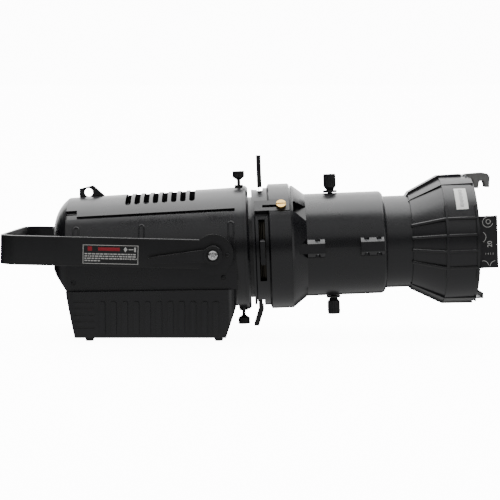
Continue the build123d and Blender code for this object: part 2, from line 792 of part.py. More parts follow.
def barrel_clamp_screws():
    screws = []
    for x, y in clamp_screw_places():
        screw = rod_z(3.3, 6.4, 9.6, x, y) + rod_z(1.8, -9, 7, x, y)
        screw -= Pos(x, y, 8.4) * extrude(RegularPolygon(1.6, 6), 3)
        screws.append(beam(screw))
    return group(screws)


def rib(angle, width, height):
    """A rib along the flare and rim of the lens tube."""
    points = [(275, tube_r - 1), (279, tube_r + 2 + height), (flare_end, rim_r - 1 + height),
              (rim_front - 1, rim_r + height), (rim_front - 1, rim_r - 1.5), (flare_end + 2, rim_r - 2.5),
              (flare_start + 4, tube_r)]
    return at_angle(side_plate(points, -width / 2, width / 2), angle)


def lens_tube():
    outer = [(tube_rear, barrel_bore - running), (tube_rear + 8, barrel_bore - running), (tube_rear + 8, tube_r),
             (flare_start, tube_r), (flare_start, tube_r + 2), (flare_end, 89), (flare_end, rim_r),
             (rim_front - 4, rim_r), (rim_front - 4, rim_r - 1.2), (rim_front, rim_r - 1.2)]
    inner = [(rim_front, rim_bore), (flare_end + 3, rim_bore), (flare_end, 84.5), (flare_start + 6, tube_bore),
             (tube_rear, tube_bore)]
    tube = turned(outer + inner)
    for angle in (-22, -7, 7, 22, 158, 173, 187, 202):
        tube += rib(angle, 3.0, 2.6)
    for x0, x1, r in ((flare_end - 1.5, flare_end + 2.5, rim_r + 2.0), (rim_front - 5, rim_front - 1, rim_r + 2.0)):
        ridge = [(x0, rim_r - 2.5), (x1, rim_r - 2.5), (x1, r), (x0 + 0.6, r), (x0, r - 0.6)]
        tube += sector(ridge, -34, 34) + sector(ridge, 146, 214)
    for angle in (62, 118, 242, 298):
        tube += rib(angle, 3.0, 1.6)
    tube += rib(90, 26, 2.9) + rib(270, 26, 1.0)
    for side in (-1, 1):
        tube += rod_z(7, *sorted((side * 64, side * 69.9)), focus_x)
        tube -= rod_z(3.45, *sorted((side * 60, side * 72)), focus_x)
    tube -= block(clip_pin_x - 6, rim_front + 5, -15.2, 15.2, 83, 100)
    tube -= rod_y(1.55, -22, 22, clip_pin_x, clip_pin_z)
    return beam(tube)


def crown(apex, edge_x, r):
    """An arc from the lens's apex on the axis to its rim, a true circle centred on the axis."""
    rise = abs(apex - edge_x)
    ball = (r * r + rise * rise) / (2 * rise)
    drop = ball - math.sqrt(ball * ball - r * r / 4)
    middle = apex - math.copysign(drop, apex - edge_x)
    return ThreePointArc((apex, 0), (middle, r / 2), (edge_x, r))


def plano_lens(flat_x, edge_x, apex, r):
    """A lens with one flat face at flat_x and a crowned face that rises to apex."""
    outline = (Line((flat_x, 0), (apex, 0)) + crown(apex, edge_x, r) + Line((edge_x, r), (flat_x, r))
               + Line((flat_x, r), (flat_x, 0)))
    return beam(revolve(Plane.XZ * make_face(outline), Axis.X, 360))


def lens_rings():
    rings = []
    for x in (190.0, 270.4):
        rings.append(beam(turned([(x, 58.5), (x + 3, 58.5), (x + 3, tube_bore), (x, tube_bore)])))
    return group(rings)


def frame_channels():
    """Side and bottom channels in front of the rim, for colour frames and accessories."""
    near = block(rim_front, rim_front + 1.6, -88, -72, -36, 36)
    near += block(rim_front, 392, -84, -82, -36, 36)
    near += block(378.2, 379.6, -83, -74.5, -36, 36)
    near += block(390.4, 392, -83, -74.5, -36, 36)
    for z in (-28, 28):
        near -= rod_x(1.6, 360, 372, -86.0, z)
    low = block(rim_front, rim_front + 1.6, -30, 30, -88, -78)
    low += block(rim_front, 379.6, -30, 30, -84, -82)
    low += block(378.2, 379.6, -30, 30, -83, -76)
    return group([beam(near), mirrored(beam(near)), beam(low)])


def retaining_clip():
    points = [(358.5, 86.6), (370.5, 86.6), (372.5, 84), (375.0, 72.4), (379.4, 72.2), (381.5, 82), (388.0, 82.6),
              (390.4, 73), (395.4, 72.8), (396.6, 88), (393.4, 92.6), (386, 94.4), (364, 93.6), (358.5, 92)]
    clip = side_plate(points, -11, 11)
    clip += rod_y(3.6, -11, 11, clip_pin_x, clip_pin_z)
    clip -= rod_y(1.6, -20, 20, clip_pin_x, clip_pin_z)
    return beam(clip)


def clip_pin():
    return beam(rod_y(1.5, -20, 20, clip_pin_x, clip_pin_z))


def clip_spring():
    coil = Helix(pitch=0.9, height=1.8, radius=2.5)
    wire = sweep(Plane(origin=coil @ 0, z_dir=coil % 0) * Circle(0.35), path=coil)
    return beam(Pos(clip_pin_x, 14.2, clip_pin_z) * Rot(90, 0, 0) * wire)


# ---- write the pieces ---------------------------------------------------------------
pieces = {
    "housing_top_cover": housing_top_cover(),
    "housing_side_near": housing_side(True),
    "housing_side_far": housing_side(False),
    "housing_front_ring": housing_front_ring(),
    "housing_screws": housing_screws(),
    "rear_cap": rear_cap(),
    "control_panel": control_panel(),
    "display_window": display_window(),
    "power_sockets": power_sockets(),
    "data_sockets": data_sockets(),
    "safety_eye": safety_eye(),
    "base_casting": base_casting(),
    "base_plate": base_plate(),
    "feet": feet(),
    "driver_board": driver_board(),
    "board_spacers": board_spacers(),
    "power_supply": power_supply(),
    "led_heat_sink": led_heat_sink(),
    "led_board": led_board(),
    "collimator_array": collimator_array(),
    "reflector_tube": reflector_tube(),
    "condenser_lens": condenser_lens(),
    "fan_frame": fan_frame(),
    "fan_rotor": fan_rotor(),
    "pivot_studs": pivot_studs(),
    "friction_discs": friction_discs(),
    "tilt_lever": tilt_lever(),
    "lever_screw": lever_screw(),
    "pivot_nut": pivot_nut(),
    "yoke_frame": yoke_frame(),
    "yoke_label": yoke_label(),
    "stop_screw": stop_screw(),
    "rotation_lock_top": rotation_lock(1),
    "rotation_lock_bottom": rotation_lock(-1),
    "barrel_neck": barrel_neck(),
    "gate_barrel": gate_barrel(),
    "gate_plates": gate_plates(),
    "slot_cover": slot_cover(),
    "cover_screw": cover_screw(),
    "barrel_upper": barrel_half(True),
    "barrel_lower": barrel_half(False),
    "barrel_clamp_screws": barrel_clamp_screws(),
    "lens_tube": lens_tube(),
    "front_lens": plano_lens(255.0, 269.0, 278.0, 62.9),
    "rear_lens": plano_lens(190.0, 178.0, 171.0, 62.9),
    "lens_rings": lens_rings(),
    "frame_channels": frame_channels(),
    "retaining_clip": retaining_clip(),
    "clip_pin": clip_pin(),
    "clip_spring": clip_spring(),
    "focus_knob_top": focus_knob(1),
    "focus_knob_bottom": focus_knob(-1),
}
for number, place in enumerate(button_places, 1):
    pieces[f"menu_button_{number}"] = menu_button(place)
for side in ("top", "bottom", "near", "far"):
    pieces[f"shutter_{side}"] = shutter(side)

os.makedirs("parts", exist_ok=True)
for node, solid in pieces.items():
    export_step(solid, f"parts/{node}.step")

whole = Compound(children=list(pieces.values())).bounding_box()
print(f"{len(pieces)} nodes, box {whole.min} to {whole.max}")
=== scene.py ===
import json
import math
import random
import bmesh
import bpy
from mathutils import Matrix, Vector


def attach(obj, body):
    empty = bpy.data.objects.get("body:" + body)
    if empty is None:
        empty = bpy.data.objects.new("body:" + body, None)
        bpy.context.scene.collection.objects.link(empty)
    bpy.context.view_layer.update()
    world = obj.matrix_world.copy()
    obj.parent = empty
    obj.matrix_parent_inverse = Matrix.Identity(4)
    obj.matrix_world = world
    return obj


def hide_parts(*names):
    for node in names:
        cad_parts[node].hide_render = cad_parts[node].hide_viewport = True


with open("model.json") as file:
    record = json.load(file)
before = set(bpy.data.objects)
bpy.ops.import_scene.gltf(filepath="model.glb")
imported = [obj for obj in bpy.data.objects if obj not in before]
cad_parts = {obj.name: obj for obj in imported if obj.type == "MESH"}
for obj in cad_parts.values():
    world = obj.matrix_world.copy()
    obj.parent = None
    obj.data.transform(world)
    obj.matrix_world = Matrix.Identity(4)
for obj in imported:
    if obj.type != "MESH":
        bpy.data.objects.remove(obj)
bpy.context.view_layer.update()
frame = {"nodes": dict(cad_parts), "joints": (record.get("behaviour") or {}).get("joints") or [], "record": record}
nodes = frame["nodes"]
record = frame["record"]
bodyOf = {node: body for body, members in record["behaviour"]["bodies"].items() for node in members}
slotOf = {part["node"]: part["material_slot"] for part in record["subparts"]}
print("frame loaded:", len(nodes), "nodes")

mm = 0.001
pivot = Vector(next(j["pos_m"] for j in frame["joints"] if j["name"] == "yoke_tilt"))
rise = {"beam": 2.3, "yoke": -1.3}   # degrees above level towards the front
beamFrame = Matrix.Translation(pivot) @ Matrix.Rotation(math.radians(-rise["beam"]), 4, "Y")   # x along the beam
yokeFrame = Matrix.Translation(pivot) @ Matrix.Rotation(math.radians(-rise["yoke"]), 4, "Y")
scene = bpy.context.scene


# Small tools that everything below uses
def linear(hexText):   # sRGB hex to the linear colour that a shader takes
    parts = [int(hexText[i:i + 2], 16) / 255 for i in (1, 3, 5)]
    return [c / 12.92 if c <= 0.04045 else ((c + 0.055) / 1.055) ** 2.4 for c in parts] + [1.0]


def addNode(tree, kind, settings=None, values=None, links=None):   # values and links are by input
    node = tree.nodes.new(kind)
    for key, value in (settings or {}).items():
        setattr(node, key, value)
    for key, value in (values or {}).items():
        node.inputs[key].default_value = value
    for key, source in (links or {}).items():
        tree.links.new(source, node.inputs[key])
    return node


def meshObject(name, bm, smoothBelow=30):   # a bmesh, given in metres, as an object at the origin
    bmesh.ops.remove_doubles(bm, verts=bm.verts, dist=1e-6)
    bmesh.ops.recalc_face_normals(bm, faces=bm.faces)
    shadeByAngle(bm, smoothBelow)
    mesh = bpy.data.meshes.new(name)
    bm.to_mesh(mesh)
    bm.free()
    piece = bpy.data.objects.new(name, mesh)
    scene.collection.objects.link(piece)
    return piece


def shadeByAngle(bm, degrees):
    for face in bm.faces:
        face.smooth = True
    for edge in bm.edges:
        edge.smooth = len(edge.link_faces) == 2 and edge.calc_face_angle(0) < math.radians(degrees)


def joinBody(piece, body, slot, *materials):
    for material in materials:
        piece.data.materials.append(material)
    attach(piece, body)
    return piece


# Finishes
# Each one: two tones that drift into each other, the range of roughness, and the grain's size and relief in mm.
# The real grain of a coat is too fine to show, so it is drawn two to three times as coarse as it is.
looks = {
    # polyester powder coat over die-cast aluminium: satin black, faint orange peel that softens the highlights
    "black_casting": {"name": "powderCoatedCasting", "tones": ("#0F0F12", "#17171A"), "rough": (0.25, 0.33),
                      "grain": 2.4, "relief": 0.035, "rub": "#3A3A3F"},
    # glass-filled polymer, moulded in a spark-eroded tool: the same black, a little duller
    "black_composite": {"name": "glassFilledPolymer", "tones": ("#101013", "#18181B"), "rough": (0.30, 0.38),
                        "grain": 1.8, "relief": 0.03, "rub": "#39393E"},
    # epoxy paint on steel bar: flatter and darker than the castings
    "black_steel": {"name": "epoxyPaintedSteel", "tones": ("#0D0D0F", "#131316"), "rough": (0.32, 0.42),
                    "grain": 1.6, "relief": 0.02, "rub": "#47474B"},
    # cold-rolled stainless sheet, browned by heat: dull metal with long rolling marks
    "blade_steel": {"name": "rolledStainless", "tones": ("#26241F", "#3A3732"), "rough": (0.38, 0.52),
                    "grain": 1.2, "relief": 0.01, "metal": 1.0, "drawn": (1, 14, 14)},
    # zinc plate: pale grey metal, slightly cloudy
    "zinc_steel": {"name": "zincPlate", "tones": ("#85878A", "#A9ABAE"), "rough": (0.3, 0.44),
                   "grain": 1.0, "relief": 0.008, "metal": 1.0},
    # nickel plate: bright, near mirror
    "chrome_screw": {"name": "nickelPlate", "tones": ("#BDBDBD", "#D6D6D6"), "rough": (0.14, 0.24),
                     "grain": 1.0, "relief": 0.004, "metal": 1.0},
    # spring steel, bead blasted: pale, soft and even
    "grey_spring_steel": {"name": "beadBlastedSteel", "tones": ("#777776", "#929290"), "rough": (0.36, 0.48),
                          "grain": 0.9, "relief": 0.02, "metal": 0.85},
    # free-cutting brass, turned: warm and bright
    "brass_screw": {"name": "turnedBrass", "tones": ("#B8934F", "#D9B670"), "rough": (0.2, 0.32),
                    "grain": 0.8, "relief": 0.008, "metal": 1.0},
    # nylon 66, moulded: matt black with a fine spark-eroded texture
    "black_knob": {"name": "mouldedNylon", "tones": ("#111113", "#18181B"), "rough": (0.46, 0.56),
                   "grain": 1.0, "relief": 0.03},
    # polycarbonate-ABS, moulded: near-black, even
    "black_moulding": {"name": "mouldedPolycarbonate", "tones": ("#151517", "#1B1B1E"), "rough": (0.44, 0.54),
                       "grain": 1.0, "relief": 0.02},
    # silicone keypad: mid grey and soft
    "button_grey": {"name": "siliconeKey", "tones": ("#3C3C40", "#46464A"), "rough": (0.55, 0.66),
                    "grain": 0.8, "relief": 0.015},
    # hard-coated acrylic: dark, smooth and glossy
    "display_glass": {"name": "smokedAcrylic", "tones": ("#071014", "#0A161B"), "rough": (0.06, 0.1),
                      "grain": 3.0, "relief": 0.001, "coat": 0.6},
    # screen-printed vinyl: black and slightly shiny
    "label_vinyl": {"name": "printedVinyl", "tones": ("#0E0E10", "#131316"), "rough": (0.28, 0.36),
                    "grain": 1.5, "relief": 0.006},
    # nitrile rubber: dusty matt black
    "foot_rubber": {"name": "nitrileRubber", "tones": ("#101011", "#191919"), "rough": (0.68, 0.82),
                    "grain": 0.9, "relief": 0.04},
    # extruded aluminium with its die lines
    "bare_aluminium": {"name": "extrudedAluminium", "tones": ("#A4A7AA", "#B8BBBE"), "rough": (0.3, 0.42),
                       "grain": 1.4, "relief": 0.01, "metal": 1.0, "drawn": (1, 12, 12)},
    # bright-anodised reflector sheet
    "bright_reflector": {"name": "brightAnodisedAluminium", "tones": ("#CFCFCF", "#DEDEDE"), "rough": (0.12, 0.2),
                         "grain": 3.0, "relief": 0.004, "metal": 1.0},
    # fibreglass board under green solder resist
    "circuit_board": {"name": "solderResist", "tones": ("#0B3A1E", "#0F4A28"), "rough": (0.3, 0.42),
                      "grain": 1.4, "relief": 0.01},
    # folded aluminium sheet, mill finish
    "supply_case": {"name": "millFinishSheet", "tones": ("#979A9D", "#ABAEB1"), "rough": (0.34, 0.46),
                    "grain": 1.6, "relief": 0.01, "metal": 1.0, "drawn": (1, 12, 12)},
    # compressed fibre: brown, dry
    "friction_fibre": {"name": "compressedFibre", "tones": ("#33291F", "#463728"), "rough": (0.75, 0.88),
                       "grain": 1.0, "relief": 0.06},
}


def freshMaterial(name):
    material = bpy.data.materials.new(name)
    material.use_nodes = True
    tree = material.node_tree
    tree.nodes.clear()
    shader = addNode(tree, "ShaderNodeBsdfPrincipled")
    addNode(tree, "ShaderNodeOutputMaterial", links={"Surface": shader.outputs[0]})
    place = addNode(tree, "ShaderNodeTexCoord").outputs["Object"]
    return material, tree, shader, place


surface = {"drift": 55, "scratch": 34, "bump": 0.35}   # mm, mm and the strength of the relief


def finishOf(look):
    material, tree, shader, place = freshMaterial(look["name"])
    grainPlace = place
    if "drawn" in look:   # rolling and die lines run along x
        stretched = addNode(tree, "ShaderNodeMapping", values={"Scale": look["drawn"]}, links={0: place})
        grainPlace = stretched.outputs[0]
    grain = addNode(tree, "ShaderNodeTexNoise", values={"Scale": 1 / (look["grain"] * mm), "Detail": 2.0},
                    links={"Vector": grainPlace})
    drift = addNode(tree, "ShaderNodeTexNoise", links={"Vector": place},
                    values={"Scale": 1 / (surface["drift"] * mm), "Detail": 5.0, "Roughness": 0.62})
    pale, dark = (linear(tone) for tone in look["tones"])
    tone = addNode(tree, "ShaderNodeMix", {"data_type": "RGBA"}, {6: pale, 7: dark}, {0: drift.outputs["Fac"]})
    colour = tone.outputs[2]
    smooth, coarse = look["rough"]
    gloss = addNode(tree, "ShaderNodeMapRange", links={"Value": drift.outputs["Fac"]},
                    values={"From Min": 0.35, "From Max": 0.65, "To Min": smooth, "To Max": coarse})
    roughness = gloss.outputs[0]
    if "rub" in look:   # handling marks: sparse, thin and a little paler
        streak = addNode(tree, "ShaderNodeMapping", links={0: place},
                         values={"Scale": (1, 1, 5), "Rotation": (0.3, 0.5, 0)})
        scratch = addNode(tree, "ShaderNodeTexNoise", links={"Vector": streak.outputs[0]},
                          values={"Scale": 1 / (surface["scratch"] * mm), "Detail": 9.0, "Roughness": 0.78})
        rubbed = addNode(tree, "ShaderNodeMapRange", links={"Value": scratch.outputs["Fac"]},
                         values={"From Min": 0.66, "From Max": 0.74, "To Min": 0.0, "To Max": 0.5})
        worn = addNode(tree, "ShaderNodeMix", {"data_type": "RGBA"}, {7: linear(look["rub"])},
                       {0: rubbed.outputs[0], 6: colour})
        colour = worn.outputs[2]
    bump = addNode(tree, "ShaderNodeBump", values={"Strength": surface["bump"], "Distance": look["relief"] * mm},
                   links={"Height": grain.outputs["Fac"]})
    tree.links.new(colour, shader.inputs["Base Color"])
    tree.links.new(roughness, shader.inputs["Roughness"])
    tree.links.new(bump.outputs[0], shader.inputs["Normal"])
    shader.inputs["Metallic"].default_value = look.get("metal", 0.0)
    shader.inputs["Coat Weight"].default_value = look.get("coat", 0.0)
    return material


finishes = {slot: finishOf(look) for slot, look in looks.items()}


def crownGlass():   # polished crown glass: clear, with a faint green edge and a little dust
    material, tree, shader, place = freshMaterial("crownGlass")
    haze = addNode(tree, "ShaderNodeTexNoise", values={"Scale": 1 / (20 * mm), "Detail": 3.0},
                   links={"Vector": place})
    dust = addNode(tree, "ShaderNodeMapRange", values={"To Min": 0.01, "To Max": 0.05},
                   links={"Value": haze.outputs["Fac"]})
    tree.links.new(dust.outputs[0], shader.inputs["Roughness"])
    shader.inputs["Base Color"].default_value = linear("#F4FAF7")
    shader.inputs["Transmission Weight"].default_value = 1.0
    shader.inputs["IOR"].default_value = 1.52
    return material


def printInk(name, hexText, rough):   # screen-printing ink: flat colour, slightly uneven cover
    material, tree, shader, place = freshMaterial(name)
    cover = addNode(tree, "ShaderNodeTexNoise", values={"Scale": 1 / (3 * mm), "Detail": 3.0},
                    links={"Vector": place})
    dim = [c * 0.82 for c in linear(hexText)[:3]] + [1.0]
    tone = addNode(tree, "ShaderNodeMix", {"data_type": "RGBA"}, {6: dim, 7: linear(hexText)},
                   {0: cover.outputs["Fac"]})
    tree.links.new(tone.outputs[2], shader.inputs["Base Color"])
    shader.inputs["Roughness"].default_value = rough
    return material


finishes["clear_optic"] = crownGlass()
whiteInk = printInk("whiteInk", "#C9C9C6", 0.5)
redInk = printInk("redInk", "#9C1226", 0.45)
greyInk = printInk("greyInk", "#7E7E80", 0.5)
paperWhite = printInk("stickerPaper", "#F1F1EE", 0.55)
phosphor = printInk("ledPhosphor", "#D9C24A", 0.35)
for name, piece in nodes.items():
    piece.data.materials.clear()
    piece.data.materials.append(finishes[slotOf[name]])
print("finishes:", len(finishes))

# CAD pieces that are shown with merged facets and soft edges
softened = {   # node: width of the broken edge in mm, 0 for smooth curves only
    "lens_tube": 0.8, "barrel_upper": 0, "barrel_lower": 0, "gate_barrel": 0.6, "slot_cover": 0.6,
    "housing_top_cover": 0.8, "housing_side_near": 0.8, "housing_side_far": 0.8, "housing_front_ring": 0,
    "rear_cap": 0, "barrel_neck": 0, "base_casting": 0.9, "safety_eye": 0.5, "yoke_frame": 0, "tilt_lever": 1.5,
    "pivot_nut": 0, "frame_channels": 0.25, "retaining_clip": 0.6, "shutter_top": 0.5, "shutter_bottom": 0.5, "shutter_near": 0.5,
    "shutter_far": 0.5, "cover_screw": 0.25, "feet": 0, "front_lens": 0, "rear_lens": 0, "control_panel": 0.4,
    "focus_knob_top": 0, "focus_knob_bottom": 0, "rotation_lock_top": 0, "rotation_lock_bottom": 0,
    "power_sockets": 0, "data_sockets": 0, "reflector_tube": 0, "condenser_lens": 0, "fan_rotor": 0,
    "pivot_studs": 0, "friction_discs": 0,
}


def soften(name, width):
    bm = bmesh.new()
    bm.from_mesh(nodes[name].data)
    bmesh.ops.remove_doubles(bm, verts=bm.verts, dist=0.00001)
    if width:
        bmesh.ops.dissolve_limit(bm, angle_limit=math.radians(0.6), verts=bm.verts, edges=bm.edges)
    shadeByAngle(bm, 30)
    mesh = bpy.data.meshes.new(name + "_soft")
    bm.to_mesh(mesh)
    bm.free()
    piece = bpy.data.objects.new(name + "_soft", mesh)
    scene.collection.objects.link(piece)
    if width:
        bevel = piece.modifiers.new("brokenEdges", "BEVEL")
        bevel.width = width * mm
        bevel.segments = 2
        bevel.limit_method = "ANGLE"
        bevel.angle_limit = math.radians(40)
        bevel.harden_normals = True
    joinBody(piece, bodyOf[name], slotOf[name], finishes[slotOf[name]])
    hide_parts(name)


for name, width in softened.items():
    soften(name, width)
print("softened:", len(softened))

# Screws with six-lobe sockets, placed by Geometry Nodes
screw = {"around": 48, "lobes": 6, "lobeDepth": 0.16}


def screwHead(headRadius, height, socketRadius, socketDepth):   # a domed head that stands on z = 0, sizes in mm
    headRadius, height = headRadius * mm, height * mm
    socketRadius, socketDepth = socketRadius * mm, socketDepth * mm
    bm = bmesh.new()
    rings = [(headRadius, -0.15 * height, 0), (headRadius, 0.45 * height, 0), (headRadius * 0.9, 0.8 * height, 0),
             (headRadius * 0.68, height, 0), (socketRadius * 1.06, height * 1.04, 1),
             (socketRadius, height, 1), (socketRadius * 0.94, height - socketDepth, 1)]   # radius, height, lobed
    loops = []
    for radius, z, lobed in rings:
        loop = []
        for k in range(screw["around"]):
            a = 2 * math.pi * k / screw["around"]
            r = radius * (1 + lobed * screw["lobeDepth"] * math.cos(screw["lobes"] * a))
            loop.append(bm.verts.new((r * math.cos(a), r * math.sin(a), z)))
        loops.append(loop)
    for low, high in zip(loops, loops[1:]):
        for k in range(screw["around"]):
            n = (k + 1) % screw["around"]
            bm.faces.new((low[k], low[n], high[n], high[k]))
    bm.faces.new(loops[0][::-1])
    bm.faces.new(loops[-1])
    return bm


def pointsTree(name, unit, material, sizeName):   # copies of unit on each point, turned to the point's aim
    tree = bpy.data.node_groups.new(name, "GeometryNodeTree")
    tree.interface.new_socket("Geometry", in_out="INPUT", socket_type="NodeSocketGeometry")
    size = tree.interface.new_socket(sizeName, in_out="INPUT", socket_type="NodeSocketFloat")
    size.default_value = 1.0
    tree.interface.new_socket("Geometry", in_out="OUTPUT", socket_type="NodeSocketGeometry")
    entry = addNode(tree, "NodeGroupInput")
    shape = addNode(tree, "GeometryNodeObjectInfo", values={"Object": unit})
    aim = addNode(tree, "GeometryNodeInputNamedAttribute", {"data_type": "FLOAT_VECTOR"}, {"Name": "aim"})
    turn = addNode(tree, "FunctionNodeAlignRotationToVector", {"axis": "Z"}, links={"Vector": aim.outputs[0]})
    copies = addNode(tree, "GeometryNodeInstanceOnPoints",
                     links={"Points": entry.outputs[0], "Instance": shape.outputs["Geometry"],
                            "Rotation": turn.outputs[0], "Scale": entry.outputs[1]})
    solid = addNode(tree, "GeometryNodeRealizeInstances", links={0: copies.outputs[0]})
    painted = addNode(tree, "GeometryNodeSetMaterial", {}, {"Material": material}, {0: solid.outputs[0]})
    addNode(tree, "NodeGroupOutput", links={0: painted.outputs[0]})
    return tree, size.identifier


def placeCopies(name, unitBm, places, material, size=1.0):   # places: (point, direction), in metres
    unit = meshObject(name + "_unit", unitBm)
    mesh = bpy.data.meshes.new(name + "_points")
    mesh.from_pydata([tuple(point) for point, aim in places], [], [])
    aims = mesh.attributes.new("aim", "FLOAT_VECTOR", "POINT")
    for k, (point, aim) in enumerate(places):
        aims.data[k].vector = aim
    carrier = bpy.data.objects.new(name + "_carrier", mesh)
    scene.collection.objects.link(carrier)
    tree, sizeSocket = pointsTree(name + "_tree", unit, material, "Size")
    modifier = carrier.modifiers.new("copies", "NODES")
    modifier.node_group = tree
    modifier[sizeSocket] = size
    evaluated = carrier.evaluated_get(bpy.context.evaluated_depsgraph_get())
    result = bpy.data.meshes.new_from_object(evaluated)
    carrier.modifiers.clear()
    bpy.data.objects.remove(carrier)
    bpy.data.objects.remove(unit)
    piece = bpy.data.objects.new(name, result)
    scene.collection.objects.link(piece)
    return piece


def inBeam(u, y, v):
    return beamFrame @ Vector((u * mm, y * mm, v * mm))


def beamWay(x, y, z):
    return (beamFrame.to_3x3() @ Vector((x, y, z))).normalized()


housingScrews = {"places": ((-196, 4), (-106, 4), (-196, -34), (12, -34)), "sunk": 1.2,
                 "head": (3.0, 1.7, 1.35, 1.0)}   # radius and height, then the socket's radius and depth


def skinAt(u):   # half width of the lamp house at u
    return 81.5 + (u + 205) / 236 * 5.5


places = []
for u, v in housingScrews["places"]:
    for side in (-1, 1):
        places.append((inBeam(u, side * (skinAt(u) - housingScrews["sunk"]), v), Vector((0, side, 0))))
piece = placeCopies("housingScrewHeads", screwHead(*housingScrews["head"]), places, finishes["black_steel"])
joinBody(piece, "lamp_house", "black_steel")
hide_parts("housing_screws")

clampScrews = {"along": (144.0, 212.0, 229.0), "out": 77.8, "seat": 6.5, "head": (3.2, 3.0, 1.5, 1.6)}
places = [(inBeam(u, side * clampScrews["out"], clampScrews["seat"]), beamWay(0, 0, 1))
          for u in clampScrews["along"] for side in (-1, 1)]
piece = placeCopies("clampScrewHeads", screwHead(*clampScrews["head"]), places, finishes["black_steel"])
joinBody(piece, "barrel", "zinc_steel")

leverScrew = {"foot": -127.8, "head": (6.9, 3.5, 3.2, 2.0)}
piece = placeCopies("leverScrewHead", screwHead(*leverScrew["head"]),
                    [(inBeam(0, leverScrew["foot"], 0), Vector((0, -1, 0)))], finishes["chrome_screw"])
joinBody(piece, "tilt_lever", "chrome_screw")
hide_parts("lever_screw")

stopScrew = {"along": 19.6, "foot": -115.0, "head": (2.9, 2.1, 1.3, 1.1)}
stopPlace = yokeFrame @ Vector((stopScrew["along"] * mm, stopScrew["foot"] * mm, 0))
piece = placeCopies("stopScrewHead", screwHead(*stopScrew["head"]), [(stopPlace, Vector((0, -1, 0)))],
                    finishes["black_steel"])
joinBody(piece, "yoke", "black_steel")
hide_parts("stop_screw")
print("screws placed")

# Grip ridges on the knobs, by Geometry Nodes
knobs = {   # by body: place along the beam, radius, inner and outer end of the grip, ridges, above or below
    "focus_knob_top": {"u": 168.0, "radius": 8.55, "span": (84.2, 98.8), "count": 16, "side": 1},
    "focus_knob_bottom": {"u": 168.0, "radius": 8.55, "span": (84.2, 98.8), "count": 16, "side": -1},
    "rotation_lock_top": {"u": 37.5, "radius": 8.15, "span": (102.0, 109.8), "count": 12, "side": 1},
    "rotation_lock_bottom": {"u": 37.5, "radius": 8.15, "span": (102.0, 109.8), "count": 12, "side": -1},
}


def ridgeTree(material):   # upright ridges on a circle: Count, Radius, Length, Ridge
    tree = bpy.data.node_groups.new("gripRidges", "GeometryNodeTree")
    ids = {}
    for name, kind, value in (("Count", "NodeSocketInt", 16), ("Radius", "NodeSocketFloat", 0.008),
                              ("Length", "NodeSocketFloat", 0.01), ("Ridge", "NodeSocketFloat", 0.0006)):
        socket = tree.interface.new_socket(name, in_out="INPUT", socket_type=kind)
        socket.default_value = value
        ids[name] = socket.identifier
    tree.interface.new_socket("Geometry", in_out="OUTPUT", socket_type="NodeSocketGeometry")
    entry = addNode(tree, "NodeGroupInput")
    ring = addNode(tree, "GeometryNodeMeshCircle",
                   links={"Vertices": entry.outputs["Count"], "Radius": entry.outputs["Radius"]})
    bar = addNode(tree, "GeometryNodeMeshCylinder", values={"Vertices": 8, "Side Segments": 1},
                  links={"Radius": entry.outputs["Ridge"], "Depth": entry.outputs["Length"]})
    copies = addNode(tree, "GeometryNodeInstanceOnPoints",
                     links={"Points": ring.outputs[0], "Instance": bar.outputs[0]})
    solid = addNode(tree, "GeometryNodeRealizeInstances", links={0: copies.outputs[0]})
    painted = addNode(tree, "GeometryNodeSetMaterial", {}, {"Material": material}, {0: solid.outputs[0]})
    addNode(tree, "NodeGroupOutput", links={0: painted.outputs[0]})
    return tree, ids


ridgeRadius = 0.55
gripTree, gripIds = ridgeTree(finishes["black_knob"])
for body, knob in knobs.items():
    carrier = bpy.data.objects.new(body + "_carrier", bpy.data.meshes.new("empty"))
    scene.collection.objects.link(carrier)
    modifier = carrier.modifiers.new("ridges", "NODES")
    modifier.node_group = gripTree
    low, high = knob["span"]
    sizes = {"Count": knob["count"], "Radius": knob["radius"] * mm, "Length": (high - low) * mm,
             "Ridge": ridgeRadius * mm}
    for key, value in sizes.items():
        modifier[gripIds[key]] = value
    mesh = bpy.data.meshes.new_from_object(carrier.evaluated_get(bpy.context.evaluated_depsgraph_get()))
    carrier.modifiers.clear()
    bpy.data.objects.remove(carrier)
    half = math.pi / knob["count"]
    middle = Matrix.Translation((knob["u"] * mm, 0, knob["side"] * (low + high) / 2 * mm))
    mesh.transform(beamFrame @ middle @ Matrix.Rotation(half, 4, "Z"))
    piece = bpy.data.objects.new(body + "_ridges", mesh)
    scene.collection.objects.link(piece)
    joinBody(piece, body, "black_knob")
print("knobs ridged")

